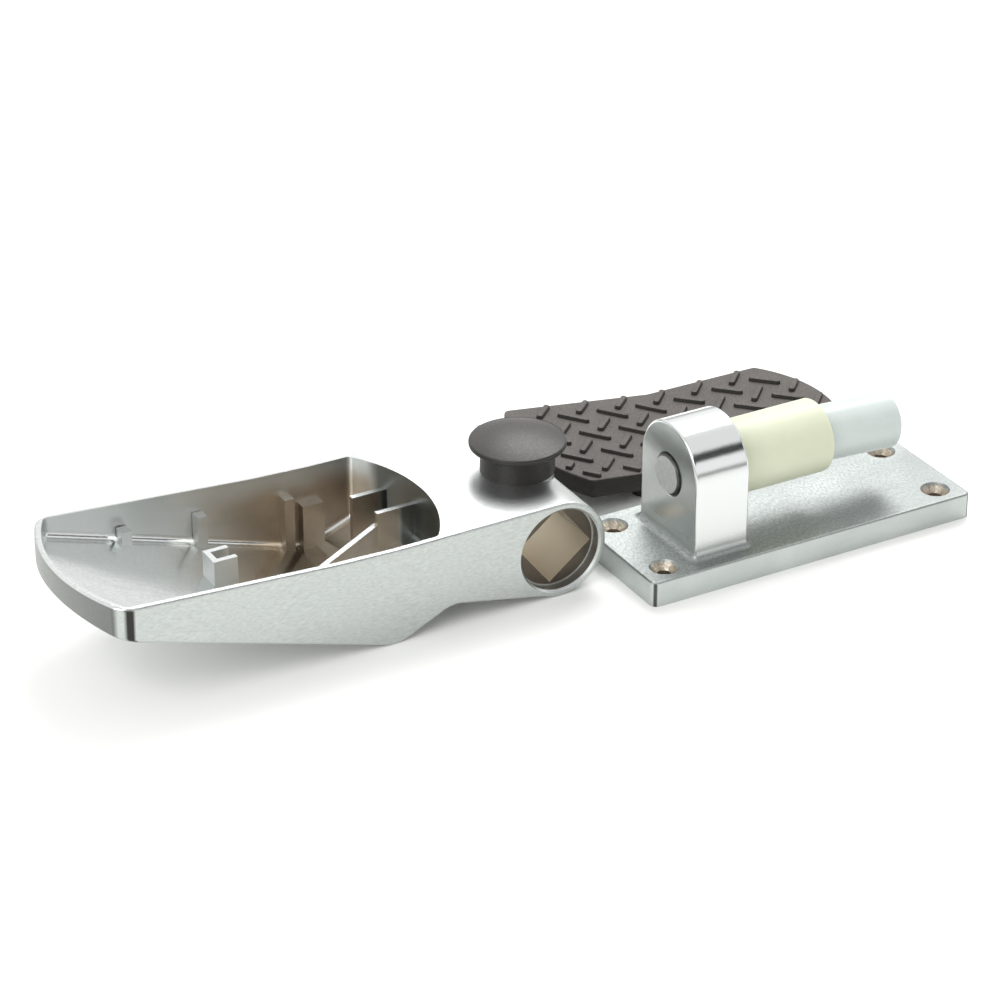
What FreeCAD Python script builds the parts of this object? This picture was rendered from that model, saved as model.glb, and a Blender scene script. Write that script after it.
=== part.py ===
import FreeCAD, Part
import math
import os
import re

import Sketcher
from FreeCAD import Placement, Rotation, Vector

# Foot treadle for a cold-room door, taken apart and laid out as a kit.
# Frame: +X runs along the pivot pin, from the boss to the sleeve's free end.
# +Y runs from the plate's front long edge to its back long edge, and +Z is up.
# The origin is the middle of the base plate's underside, and everything stands on Z = 0.

doc = FreeCAD.newDocument("foot_treadle")
sheet = doc.addObject("Spreadsheet::Sheet", "Sizes")

SIZES = [
    # base casting
    ("plate_length", 145.0, "base plate along X"),
    ("plate_width", 56.0, "base plate along Y"),
    ("plate_thick", 10.2, "base plate along Z"),
    ("plate_corner", 3.0, "radius of the plate's upright corners"),
    ("plate_edge", 0.9, "rounding of the plate's top edge"),
    ("screw_hole_radius", 2.9, "clearance for a number 12 countersunk screw"),
    ("sink_radius", 5.8, "countersink at the plate's top"),
    ("sink_depth", 3.2, "depth of the countersink"),
    ("hole_inset_long", 10.4, "screw hole to the plate's short edge"),
    ("hole_inset_short", 9.6, "screw hole to the plate's long edge"),
    ("boss_inset", 23.2, "plate's left edge to the boss"),
    ("boss_thick", 23.4, "boss along the pin"),
    ("boss_half", 19.8, "half the boss's width and the radius of its arch"),
    ("arch_height", 39.0, "centre of the arch above the floor"),
    ("boss_foot", 3.0, "fillet where the boss meets the plate"),
    ("boss_edge", 1.0, "rounding of the boss's arch edges"),
    # pin, bush and sleeve
    ("pin_height", 37.6, "pin axis above the floor"),
    ("pin_radius", 8.0, "pin through the boss and the bush"),
    ("pin_proud", 1.2, "pin's peened end in front of the boss"),
    ("pin_sink", 0.9, "chamfer of the boss's hole round the peened end"),
    ("pin_chamfer", 0.7, "chamfer of the peened end"),
    ("tail_radius", 5.0, "pin's tail inside the sleeve"),
    ("tail_short", 2.5, "tail's end inside the sleeve's end"),
    ("tail_chamfer", 0.6, "chamfer of the tail's end"),
    ("tap_radius", 2.5, "tapped hole in the tail's end"),
    ("tap_depth", 14.0, "depth of the tapped hole"),
    ("run_gap", 0.06, "running clearance on the radius"),
    ("face_gap", 0.25, "gap between faces that turn against each other"),
    ("bush_length", 42.0, "bush along the pin"),
    ("bush_radius", 14.5, "bush outside"),
    ("bush_round", 0.8, "rounding of the bush's ends"),
    ("sleeve_length", 32.8, "sleeve along its own axis"),
    ("sleeve_radius", 11.0, "sleeve outside"),
    ("sleeve_bore", 8.4, "sleeve inside, loose on the tail"),
    ("sleeve_droop", 3.5, "angle by which the loose sleeve hangs down"),
    ("sleeve_round", 0.6, "rounding of the sleeve's free end"),
    # pedal casting, in its own frame: X = 0 on the barrel axis, Y = 0 at the near end
    ("pedal_y", -3.0, "barrel's near end from the base's middle"),
    ("barrel_length", 74.0, "barrel along its bore"),
    ("barrel_wall", 4.94, "barrel's wall round the bush's bore"),
    ("barrel_radius", "=bush_radius + run_gap + barrel_wall", "barrel outside"),
    ("kit_gap", 5.9, "base plate's end to the barrel"),
    ("pedal_x", "=-plate_length / 2 - kit_gap - barrel_radius", "barrel axis from the base's middle"),
    ("barrel_chamfer", 0.8, "rounding of the barrel's mouths"),
    ("bore_depth", 43.0, "round bore for the bush, from the far end"),
    ("socket_side", 22.2, "square socket for the sleeve"),
    ("socket_turn", 38.0, "socket turned about the barrel's axis"),
    ("mouth_radius", 16.6, "round recess at the near mouth"),
    ("mouth_depth", 5.0, "depth of the recess"),
    ("toe_flare", 2.0, "each side wider at the toe"),
    ("toe_x", 177.0, "barrel axis to the toe's corners"),
    ("toe_bulge", 10.5, "toe's arc beyond its corners"),
    ("toe_corner", 9.0, "upright radius of the toe's corners"),
    ("rim_bend_x", 80.0, "where the top starts to rise towards the toe"),
    ("rim_rise", 6.3, "rise of the rim at the toe"),
    ("rim_blend", 12.0, "half the length over which the top bends"),
    ("toe_height", 13.0, "height of the toe's wall"),
    ("belly_x", 70.0, "barrel axis to the lowest point of the belly"),
    ("keel_half", 3.0, "half the flat that the belly stands on"),
    ("belly_round", 8.0, "radius of the belly's keel"),
    ("throat_x", 46.0, "barrel axis to the top of the throat"),
    ("throat_height", 9.6, "throat above the floor"),
    ("throat_round", 14.0, "radius of the throat"),
    ("side_wall", 2.0, "tray's side walls"),
    ("toe_wall", 2.2, "tray's toe wall"),
    ("floor_thick", 6.0, "tray's floor"),
    ("tray_end_x", 51.0, "barrel axis to the tray's inner corners"),
    ("tray_end_bulge", 12.0, "tray's end arc towards the barrel"),
    ("tray_corner", 3.0, "upright radius inside the tray"),
    ("tray_floor_round", 2.5, "fillet round the tray's floor"),
    ("tray_bottom", 6.5, "deepest part of the tray above the floor"),
    ("pad_seat", 9.2, "posts' tops under the rim"),
    ("post_long", 4.0, "wall posts along the tray"),
    ("post_deep", 5.0, "wall posts across the tray, the wall included"),
    ("post_first_x", 145.0, "barrel axis to the first pair of posts"),
    ("post_second_x", 114.5, "barrel axis to the second pair of posts"),
    ("post_third_x", 78.5, "barrel axis to the third pair of posts"),
    ("box_x", 121.0, "barrel axis to the open box post"),
    ("box_y", 39.2, "near end to the box post"),
    ("box_long", 9.5, "box post along the tray"),
    ("box_wide", 10.0, "box post across the tray"),
    ("middle_rib_x", 55.0, "barrel axis to the middle rib's toe end"),
    ("middle_rib_y", 42.0, "near end to the middle rib"),
    ("far_rib_x", 57.4, "barrel axis to the far rib's toe end"),
    ("far_rib_y", 57.5, "near end to the far rib"),
    ("strut_long", 40.0, "strut from the middle rib towards the near wall"),
    ("strut_turn", 30.0, "strut turned from the tray's length"),
    ("strut_drop", 5.0, "strut's top under the posts' tops"),
    ("wall_boss_x", 68.3, "barrel axis to the far wall's flat boss"),
    ("wall_boss_long", 9.0, "flat boss along the tray"),
    ("wall_boss_deep", 4.5, "flat boss across the tray, the wall included"),
    ("rib_thick", 2.2, "ribs and strut"),
    ("pedal_edge", 1.2, "rounding of the pedal's outer edges"),
    # bumper
    ("bumper_y", 32.8, "bumper from the barrel's near end"),
    ("stem_radius", 14.2, "bumper's stem"),
    ("stem_height", 10.2, "underside of the bumper's head above its seat"),
    ("head_radius", 18.5, "bumper's head"),
    ("head_edge", 2.0, "thickness of the head's rim"),
    ("head_dome", 3.2, "dome above the head's rim"),
    ("head_round", 0.9, "rounding of the head's rim"),
    ("post_radius", 6.0, "cast post inside the bumper"),
    ("post_height", 9.5, "cast post above the seat"),
    ("seat_inset", 0.4, "cast seat inside the bumper's stem"),
    # tread pad
    ("pad_gap", 2.5, "pad smaller than the tray all round"),
    ("pad_thick", 9.4, "pad's thickness, tread included"),
    ("pad_x", 10.0, "bend of the pad from the base's middle"),
    ("pad_room", 15.0, "base plate's long edge to the pad"),
    ("pad_y", "=plate_width / 2 + pad_room", "pad's near edge from the base's middle"),
    ("pad_flat", 52.0, "bend to the corners of the pad's flat end"),
    ("pad_rise", 7.5, "angle by which the pad's toe end curls up"),
    ("lug_radius", 5.0, "lugs under the pad"),
    ("lug_x", 38.0, "lugs from the pad's bend"),
    ("lug_inset", 9.0, "lugs from the pad's long edges"),
    # shapes that are joined or cut away
    ("overlap", 1.0, "how far a shape runs past the face it meets"),
    ("clear_over", 20.0, "how far a shape stands past the casting it trims"),
]

for row, (alias, value, note) in enumerate(SIZES, start=1):
    sheet.set("A%d" % row, alias)
    sheet.set("B%d" % row, str(value))
    sheet.set("C%d" % row, note)
    sheet.setAlias("B%d" % row, alias)
doc.recompute()


ALIASES = {entry[0] for entry in SIZES}


def on_sheet(text):
    """The expression with each of the sheet's names written as Sizes.name."""
    return re.sub(r"[a-z_]+", lambda word: "Sizes." + word[0] if word[0] in ALIASES else word[0], text)


def size(text):
    """Value of an expression on the sheet's names, such as 'plate_width / 2'."""
    value = sheet.evalExpression(on_sheet(text))
    return float(getattr(value, "Value", value))


def bind(thing, settings):
    """Tie each property or placement path of an object to an expression."""
    for path, text in settings.items():
        thing.setExpression(path, on_sheet(text))


def new_body(name):
    return doc.addObject("PartDesign::Body", name)


def finish_feature(body, feature):
    """Make the feature its body's last one and work it out."""
    body.Tip = feature
    doc.recompute()
    if feature.Shape.isNull() or not feature.isValid():
        raise RuntimeError(feature.Name + " failed: " + feature.getStatusString())
    return feature


def outline(body, name, plane, corners, bulges=None):
    """Closed sketch through corners given as pairs of expressions, in turn to the left.

    bulges holds, for the side that starts at a corner, how far it bows outwards as an arc.
    """
    bulges = bulges or {}
    sketch = body.newObject("Sketcher::SketchObject", name)
    origin_plane = [item for item in body.Origin.OriginFeatures if item.Role == plane][0]
    sketch.AttachmentSupport = [(origin_plane, "")]
    sketch.MapMode = "FlatFace"
    points = [Vector(size(x), size(y), 0) for x, y in corners]
    count = len(points)
    for side in range(count):
        start = points[side]
        end = points[(side + 1) % count]
        if side in bulges:
            along = (end - start).normalize()
            bow = (start + end) / 2 + Vector(along.y, -along.x, 0) * size(bulges[side])
            sketch.addGeometry(Part.Arc(start, bow, end))
        else:
            sketch.addGeometry(Part.LineSegment(start, end))
    for side in range(count):
        sketch.addConstraint(Sketcher.Constraint("Coincident", side, 2, (side + 1) % count, 1))
    for side, (x, y) in enumerate(corners):
        for kind, text in (("DistanceX", x), ("DistanceY", y)):
            row = sketch.addConstraint(Sketcher.Constraint(kind, -1, 1, side, 1, size(text)))
            sketch.setExpression("Constraints[%d]" % row, on_sheet(text))
    for side, bulge in bulges.items():
        (x0, y0), (x1, y1) = corners[side], corners[(side + 1) % count]
        chord = "sqrt((%s - (%s))^2 + (%s - (%s))^2)" % (x1, x0, y1, y0)
        radius = "((%s)^2 / 4 + (%s)^2) / (2 * (%s))" % (chord, bulge, bulge)
        row = sketch.addConstraint(Sketcher.Constraint("Radius", side, size(radius)))
        sketch.setExpression("Constraints[%d]" % row, on_sheet(radius))
    return sketch


def pad(body, sketch, length, shift="0"):
    """Pad a sketch along its normal, from a plane shifted along that normal."""
    sketch.setExpression("AttachmentOffset.Base.z", on_sheet(shift))
    feature = body.newObject("PartDesign::Pad", sketch.Name + "_pad")
    feature.Profile = sketch
    feature.setExpression("Length", on_sheet(length))
    return finish_feature(body, feature)


def pocket(body, sketch, length, shift="0"):
    """Cut a sketch out of the body against its normal, and see that it took something away."""
    sketch.setExpression("AttachmentOffset.Base.z", on_sheet(shift))
    before = body.Shape.Volume
    feature = body.newObject("PartDesign::Pocket", sketch.Name + "_pocket")
    feature.Profile = sketch
    feature.setExpression("Length", on_sheet(length))
    finish_feature(body, feature)
    if feature.Shape.Volume > before - 1e-6:
        raise RuntimeError(feature.Name + " cuts nothing")
    return feature


def turned(body, sketch, kind="PartDesign::Revolution"):
    """Turn a sketch of radius against length about its horizontal axis."""
    feature = body.newObject(kind, sketch.Name + "_turned")
    feature.Profile = sketch
    feature.ReferenceAxis = (sketch, ["H_Axis"])
    feature.Angle = 360
    return finish_feature(body, feature)


def edges_where(shape, test):
    """Names of the shape's edges whose middle point and ends pass a test."""
    names = []
    for number, edge in enumerate(shape.Edges, start=1):
        middle = edge.valueAt((edge.FirstParameter + edge.LastParameter) / 2)
        if test(edge, middle):
            names.append("Edge%d" % number)
    return names


def soften(body, kind, test, amount):
    """Fillet or chamfer the edges that pass a test."""
    base = body.Tip
    names = edges_where(base.Shape, test)
    if not names:
        raise RuntimeError("no edge to soften on " + body.Name)
    feature = body.newObject("PartDesign::" + kind, body.Name + "_" + kind.lower() + str(len(body.Group)))
    feature.Base = (base, names)
    feature.setExpression("Radius" if kind == "Fillet" else "Size", on_sheet(amount))
    return finish_feature(body, feature)


def near(a, b, slack=0.05):
    return abs(a - b) < slack


def is_sharp(shape, edge):
    """True for an edge whose two faces meet at more than 30 degrees."""
    middle = edge.valueAt((edge.FirstParameter + edge.LastParameter) / 2)
    normals = [face.normalAt(*face.Surface.parameter(middle)) for face in shape.ancestorsOfType(edge, Part.Face)]
    return math.degrees(normals[0].getAngle(normals[-1])) > 30


def is_ring(edge, radius):
    """True for a whole circle of the radius."""
    return edge.Closed and near(edge.Length, 2 * math.pi * radius)


def runs_along(edge, axis):
    """True for a straight edge along the axis numbered 0, 1 or 2."""
    if edge.Curve.TypeId != "Part::GeomLine":
        return False
    step = edge.Vertexes[-1].Point - edge.Vertexes[0].Point
    return abs(step[axis]) > 0.999 * step.Length


def add_box(body, name, corner, sides, turn=None):
    """Box feature from its lowest corner and its three sides, given as expressions."""
    box = body.newObject("PartDesign::AdditiveBox", name)
    for axis, text in zip("xyz", corner):
        box.setExpression("Placement.Base." + axis, on_sheet(text))
    bind(box, dict(zip(("Length", "Width", "Height"), sides)))
    if turn is not None:
        box.setExpression("Placement.Rotation.Angle", on_sheet(turn))
    return finish_feature(body, box)


def add_cylinder(body, name, foot, radius, height, rotation=None, cut=False):
    """Cylinder added to the body, or cut out of it, from the middle of its foot."""
    kind = "PartDesign::SubtractiveCylinder" if cut else "PartDesign::AdditiveCylinder"
    before = body.Shape.Volume if cut else 0
    cylinder = body.newObject(kind, name)
    if rotation is not None:
        cylinder.Placement = Placement(Vector(0, 0, 0), rotation)
    for axis, text in zip("xyz", foot):
        cylinder.setExpression("Placement.Base." + axis, on_sheet(text))
    bind(cylinder, {"Radius": radius, "Height": height})
    finish_feature(body, cylinder)
    if cut and cylinder.Shape.Volume > before - 1e-6:
        raise RuntimeError(name + " cuts nothing")
    return cylinder


ALONG_X = Rotation(Vector(0, 1, 0), 90)
ALONG_Y = Rotation(Vector(1, 0, 0), -90)
PIN_START = "-plate_length / 2 + boss_inset"
BUSH_START = "-plate_length / 2 + boss_inset + boss_thick + face_gap"
DROOP_ROOM = "sleeve_radius * sin(sleeve_droop) + face_gap"


def base_casting():
    """Plate with the arched boss that holds the pin; four countersunk screw holes."""
    body = new_body("base_casting")
    half_x, half_y = "plate_length / 2", "plate_width / 2"
    corners = [("-" + half_x, "-" + half_y), (half_x, "-" + half_y), (half_x, half_y), ("-" + half_x, half_y)]
    pad(body, outline(body, "plate", "XY_Plane", corners), "plate_thick")
    soften(body, "Fillet", lambda edge, middle: runs_along(edge, 2), "plate_corner")
    add_box(body, "boss_web", (PIN_START, "-boss_half", "plate_thick / 2"),
            ("boss_thick", "2 * boss_half", "arch_height - plate_thick / 2"))
    add_cylinder(body, "boss_arch", (PIN_START, "0", "arch_height"), "boss_half", "boss_thick", ALONG_X)
    left, right = size(PIN_START), size(PIN_START + " + boss_thick")
    top = size("plate_thick")

    def boss_rim(edge, middle):
        return (near(middle.x, left) or near(middle.x, right)) and middle.z > top + 1

    def boss_foot(edge, middle):
        on_boss = abs(middle.y) < size("boss_half") + 0.1 and left - 0.1 < middle.x < right + 0.1
        return near(middle.z, top) and on_boss

    def plate_rim(edge, middle):
        inside = abs(middle.y) < size("boss_half + boss_foot") + 1 and left - 5 < middle.x < right + 5
        return near(middle.z, top) and not inside

    soften(body, "Fillet", boss_rim, "boss_edge")
    soften(body, "Fillet", boss_foot, "boss_foot")
    soften(body, "Fillet", plate_rim, "plate_edge")
    for side_x in ("-", ""):
        for side_y in ("-", ""):
            x = side_x + "(plate_length / 2 - hole_inset_long)"
            y = side_y + "(plate_width / 2 - hole_inset_short)"
            name = "screw_hole_%s_%s" % ("left" if side_x else "right", "front" if side_y else "back")
            add_cylinder(body, name, (x, y, "-overlap"), "screw_hole_radius", "plate_thick + 2 * overlap",
                         cut=True)
            sink = body.newObject("PartDesign::SubtractiveCone", name + "_sink")
            for axis, text in zip("xyz", (x, y, "plate_thick - sink_depth")):
                sink.setExpression("Placement.Base." + axis, on_sheet(text))
            slope = "(sink_radius - screw_hole_radius) / sink_depth"
            bind(sink, {"Radius1": "screw_hole_radius", "Height": "sink_depth + overlap",
                        "Radius2": "sink_radius + overlap * " + slope})
            finish_feature(body, sink)
    add_cylinder(body, "pin_hole", (PIN_START + " - overlap", "0", "pin_height"),
                 "pin_radius", "boss_thick + 2 * overlap", ALONG_X, cut=True)
    around = size("pin_radius")
    soften(body, "Chamfer", lambda edge, middle: near(middle.x, left) and is_ring(edge, around), "pin_sink")
    return body


def pivot_pin():
    """Shouldered steel pin, peened over in the boss, with a tapped hole in its tail."""
    body = new_body("pivot_pin")
    shoulder = "pin_proud + boss_thick + face_gap + bush_length"
    end = shoulder + " + " + DROOP_ROOM + " + sleeve_length * cos(sleeve_droop) - tail_short"
    corners = [
        ("0", "0"),
        (end + " - tap_depth", "0"),
        (end + " - tap_depth", "tap_radius"),
        (end, "tap_radius"),
        (end, "tail_radius - tail_chamfer"),
        (end + " - tail_chamfer", "tail_radius"),
        (shoulder, "tail_radius"),
        (shoulder, "pin_radius"),
        ("pin_chamfer", "pin_radius"),
        ("0", "pin_radius - pin_chamfer"),
    ]
    turned(body, outline(body, "pin_profile", "XY_Plane", corners))
    bind(body, {"Placement.Base.x": PIN_START + " - pin_proud", "Placement.Base.z": "pin_height"})
    return body


def nylon_bush():
    """Plain bush that turns on the pin."""
    body = new_body("nylon_bush")
    corners = [
        ("0", "pin_radius + run_gap"),
        ("bush_length", "pin_radius + run_gap"),
        ("bush_length", "bush_radius"),
        ("0", "bush_radius"),
    ]
    turned(body, outline(body, "bush_profile", "XY_Plane", corners))
    around = size("bush_radius")
    soften(body, "Fillet", lambda edge, middle: is_ring(edge, around), "bush_round")
    bind(body, {"Placement.Base.x": BUSH_START, "Placement.Base.z": "pin_height"})
    return body


def acetal_sleeve():
    """Thin sleeve that hangs loose on the pin's tail, its free end drooping."""
    body = new_body("acetal_sleeve")
    corners = [
        ("0", "sleeve_bore"),
        ("sleeve_length", "sleeve_bore"),
        ("sleeve_length", "sleeve_radius"),
        ("0", "sleeve_radius"),
    ]
    turned(body, outline(body, "sleeve_profile", "XY_Plane", corners))
    end, around = size("sleeve_length"), size("sleeve_radius")
    soften(body, "Fillet", lambda edge, middle: near(middle.x, end) and is_ring(edge, around), "sleeve_round")
    body.Placement = Placement(Vector(0, 0, 0), Rotation(Vector(0, 1, 0), size("sleeve_droop")))
    bind(body, {"Placement.Base.x": BUSH_START + " + bush_length + " + DROOP_ROOM,
                "Placement.Base.z": "pin_height", "Placement.Rotation.Angle": "sleeve_droop"})
    return body


# Pedal casting. Heights along it, as expressions.
RIM_TOP = "2 * barrel_radius"
RISE = "(rim_rise / (toe_x - rim_bend_x))"
TOE_FOOT = "(2 * barrel_radius + rim_rise - toe_height)"
BELLY_SLOPE = "(" + TOE_FOOT + " / (toe_x - belly_x - keel_half))"
BEYOND_TOE = "(toe_x + toe_bulge + overlap)"


def rim_height(x):
    """Height of the rim at a distance x from the barrel axis towards the toe."""
    return "(%s + %s * (%s - rim_bend_x))" % (RIM_TOP, RISE, x)


def underside(x):
    """Height of the casting's underside between the belly and the toe."""
    return "(%s * (%s - belly_x - keel_half))" % (BELLY_SLOPE, x)


def throat_underside(x):
    """Height of the casting's underside between the throat and the belly."""
    return "(throat_height * (belly_x - keel_half - %s) / (belly_x - keel_half - throat_x))" % x


def block_from_outlines(name, side, plan, plan_bulges, heights, side_rounds, plan_rounded):
    """What a side view and a plan view have in common, with their own edges rounded first.

    heights are the plan's foot and its height. plan_rounded is a test for its upright edges and a radius.
    """
    seen_side = new_body(name + "_side")
    pad(seen_side, outline(seen_side, name + "_side_view", "XZ_Plane", side),
        "barrel_length + 4 * toe_flare", "-(barrel_length + 2 * toe_flare)")
    for x, z, radius in side_rounds:
        at_x, at_z = -size(x), size(z)
        soften(seen_side, "Fillet", lambda edge, middle: runs_along(edge, 1) and near(middle.x, at_x)
               and near(middle.z, at_z), radius)
    seen_above = new_body(name + "_plan")
    foot, height = heights
    pad(seen_above, outline(seen_above, name + "_plan_view", "XY_Plane", plan, plan_bulges), height, foot)
    soften(seen_above, "Fillet", *plan_rounded)
    both = doc.addObject("Part::Common", name + "_common")
    both.Base = seen_side
    both.Tool = seen_above
    body = new_body(name + "_block")
    body.BaseFeature = both
    doc.recompute()
    return body


def pedal_outside():
    side = [
        ("-" + BEYOND_TOE, underside(BEYOND_TOE)),
        ("-(belly_x + keel_half)", "0"),
        ("-(belly_x - keel_half)", "0"),
        ("-throat_x", "throat_height"),
        ("0", "0"),
        ("0", RIM_TOP),
        ("-(rim_bend_x - rim_blend)", RIM_TOP),
        ("-(rim_bend_x + rim_blend)", rim_height("(rim_bend_x + rim_blend)")),
        ("-" + BEYOND_TOE, rim_height(BEYOND_TOE)),
    ]
    plan = [
        ("-toe_x", "-toe_flare"),
        ("0", "0"),
        ("0", "barrel_length"),
        ("-toe_x", "barrel_length + toe_flare"),
    ]
    rounds = [("belly_x + keel_half", "0", "belly_round"), ("belly_x - keel_half", "0", "belly_round"),
              ("throat_x", "throat_height", "throat_round")]
    at_toe = (lambda edge, middle: runs_along(edge, 2) and middle.x < -size("toe_x") + 0.1, "toe_corner")
    body = block_from_outlines("pedal", side, plan, {3: "toe_bulge"},
                               ("-overlap", "2 * barrel_radius + clear_over"), rounds, at_toe)
    block = body.Tip.Shape
    soften(body, "Fillet", lambda edge, middle: middle.x < -1 and is_sharp(block, edge), "pedal_edge")
    return body


def tray_core():
    """The space inside the tray, as one block to cut away."""
    floor_end = "(belly_x + keel_half + (tray_bottom - floor_thick) / " + BELLY_SLOPE + ")"
    above = "(2 * barrel_radius + clear_over)"
    barrel_side = "-(tray_end_x - tray_end_bulge - overlap)"
    side = [
        ("-" + BEYOND_TOE, underside(BEYOND_TOE) + " + floor_thick"),
        ("-" + floor_end, "tray_bottom"),
        ("-(belly_x - keel_half)", "tray_bottom"),
        ("-throat_x", "throat_height + floor_thick"),
        (barrel_side, "throat_height + floor_thick"),
        (barrel_side, above),
        ("-" + BEYOND_TOE, above),
    ]
    inner_toe = "(toe_x - toe_wall)"
    toe_wall_y = "(side_wall - toe_flare * %s / toe_x)" % inner_toe
    end_wall_y = "(side_wall - toe_flare * tray_end_x / toe_x)"
    plan = [
        ("-" + inner_toe, toe_wall_y),
        ("-tray_end_x", end_wall_y),
        ("-tray_end_x", "barrel_length - " + end_wall_y),
        ("-" + inner_toe, "barrel_length - " + toe_wall_y),
    ]
    corners = (lambda edge, middle: runs_along(edge, 2), "tray_corner")
    body = block_from_outlines("tray", side, plan, {1: "tray_end_bulge", 3: "toe_bulge"},
                               ("0", "2 * barrel_radius + 2 * clear_over"), [], corners)
    block, rim = body.Tip.Shape, size("2 * barrel_radius")
    soften(body, "Fillet", lambda edge, middle: middle.z < rim and is_sharp(block, edge), "tray_floor_round")
    return body


def tray_supports(body):
    """Posts and ribs that carry the pad, all ending at the same depth under the rim."""
    flat_seat = "(" + RIM_TOP + " - pad_seat)"
    sloped_foot = underside("%s") + " + floor_thick / 2"
    posts = [
        ("post_first_x", sloped_foot % "post_first_x", rim_height("post_first_x") + " - pad_seat"),
        ("post_second_x", sloped_foot % "post_second_x", rim_height("post_second_x") + " - pad_seat"),
        ("post_third_x", "tray_bottom - overlap", flat_seat),
    ]
    for number, (x, foot, seat) in enumerate(posts, start=1):
        for side, y in (("near", "side_wall / 2"), ("far", "barrel_length - side_wall / 2 - post_deep")):
            add_box(body, "%s_post_%d" % (side, number), ("-%s - post_long / 2" % x, y, foot),
                    ("post_long", "post_deep", "%s - (%s)" % (seat, foot)))
    foot = "(%s + floor_thick / 4)" % underside("(box_x + box_long / 2)")
    height = "%s - pad_seat - %s" % (rim_height("box_x"), foot)
    toe_side, near_side = "-box_x - box_long / 2", "box_y - box_wide / 2"
    add_box(body, "box_post_near", (toe_side, near_side, foot), ("box_long", "rib_thick", height))
    add_box(body, "box_post_far", (toe_side, "box_y + box_wide / 2 - rib_thick", foot),
            ("box_long", "rib_thick", height))
    add_box(body, "box_post_side", (toe_side, near_side, foot), ("rib_thick", "box_wide", height))
    foot = "(throat_height + overlap)"
    for rib in ("middle_rib", "far_rib"):
        add_box(body, rib, ("-%s_x" % rib, "%s_y" % rib, foot),
                ("%s_x - tray_end_x + tray_end_bulge + overlap" % rib, "rib_thick", flat_seat + " - " + foot))
    low_seat = "(" + flat_seat + " - strut_drop)"
    foot = "(%s + overlap / 4)" % throat_underside("(middle_rib_x - overlap)")
    add_box(body, "strut", ("-middle_rib_x - strut_long * cos(strut_turn)",
                            "middle_rib_y - strut_long * sin(strut_turn)", foot),
            ("strut_long + overlap", "rib_thick", low_seat + " - " + foot), turn="strut_turn")
    foot = "(tray_bottom - overlap)"
    add_box(body, "wall_boss", ("-wall_boss_x - wall_boss_long / 2",
                                 "barrel_length - side_wall / 2 - wall_boss_deep", foot),
            ("wall_boss_long", "wall_boss_deep", low_seat + " - " + foot))


def pedal_casting():
    """Tray for the foot, solid neck and cross barrel, in one casting."""
    block = pedal_outside()
    core = tray_core()
    shell = doc.addObject("Part::Cut", "pedal_shell")
    shell.Base = block
    shell.Tool = core
    doc.recompute()
    body = new_body("pedal_casting")
    body.BaseFeature = shell
    doc.recompute()
    tray_supports(body)
    barrel = [
        ("0", "0"),
        ("barrel_length", "0"),
        ("barrel_length", "barrel_radius - pedal_edge"),
        ("barrel_length - pedal_edge", "barrel_radius"),
        ("pedal_edge", "barrel_radius"),
        ("0", "barrel_radius - pedal_edge"),
    ]
    quarter_bow = "(1 - sqrt(2) / 2) * pedal_edge"
    profile = outline(body, "barrel_profile", "YZ_Plane", barrel, {2: quarter_bow, 4: quarter_bow})
    profile.setExpression("AttachmentOffset.Base.y", on_sheet("barrel_radius"))
    turned(body, profile)
    add_cylinder(body, "bumper_seat", ("0", "bumper_y", "barrel_radius"), "stem_radius - seat_inset",
                 "barrel_radius")
    add_cylinder(body, "bumper_post", ("0", "bumper_y", "2 * barrel_radius - overlap"), "post_radius",
                 "post_height + overlap")
    add_cylinder(body, "bush_bore", ("0", "barrel_length - bore_depth", "barrel_radius"),
                 "bush_radius + run_gap", "bore_depth + overlap", ALONG_Y, cut=True)
    add_cylinder(body, "near_mouth", ("0", "-overlap", "barrel_radius"), "mouth_radius",
                 "mouth_depth + overlap", ALONG_Y, cut=True)
    corners = []
    for quarter in range(4):
        angle = "(socket_turn + %d)" % (45 + 90 * quarter)
        corners.append(("socket_side / sqrt(2) * cos(%s)" % angle,
                        "barrel_radius + socket_side / sqrt(2) * sin(%s)" % angle))
    pocket(body, outline(body, "sleeve_socket", "XZ_Plane", corners), "barrel_length - bore_depth + overlap")
    far_end = size("barrel_length")
    mouths = (size("mouth_radius"), size("bush_radius + run_gap"))

    def mouth(edge, middle):
        at_end = near(middle.y, 0) or near(middle.y, far_end)
        if not at_end or edge.Curve.TypeId != "Part::GeomCircle":
            return False
        return near(edge.Curve.Radius, mouths[0]) or near(edge.Curve.Radius, mouths[1])

    soften(body, "Chamfer", mouth, "barrel_chamfer")
    bind(body, {"Placement.Base.x": "pedal_x", "Placement.Base.y": "pedal_y"})
    return body


def bumper():
    """Rubber mushroom pushed over the casting's post."""
    body = new_body("rubber_bumper")
    cavity_radius, cavity_depth = "post_radius + run_gap", "post_height + face_gap"
    rim = "(stem_height + head_edge)"
    ball = "((head_radius^2 + head_dome^2) / (2 * head_dome))"
    bow = "%s - sqrt(%s^2 - (head_radius^2 + head_dome^2) / 4)" % (ball, ball)
    corners = [
        (cavity_depth, "0"),
        (rim + " + head_dome", "0"),
        (rim, "head_radius"),
        ("stem_height", "head_radius"),
        ("stem_height", "stem_radius"),
        ("0", "stem_radius"),
        ("0", cavity_radius),
        (cavity_depth, cavity_radius),
    ]
    turned(body, outline(body, "bumper_profile", "XY_Plane", corners, {1: bow}))
    around = size("head_radius")
    soften(body, "Fillet", lambda edge, middle: is_ring(edge, around), "head_round")
    body.Placement = Placement(Vector(0, 0, 0), Rotation(Vector(0, 1, 0), -90))
    bind(body, {"Placement.Base.x": "pedal_x", "Placement.Base.y": "pedal_y + bumper_y",
                "Placement.Base.z": "2 * barrel_radius"})
    return body


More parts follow.
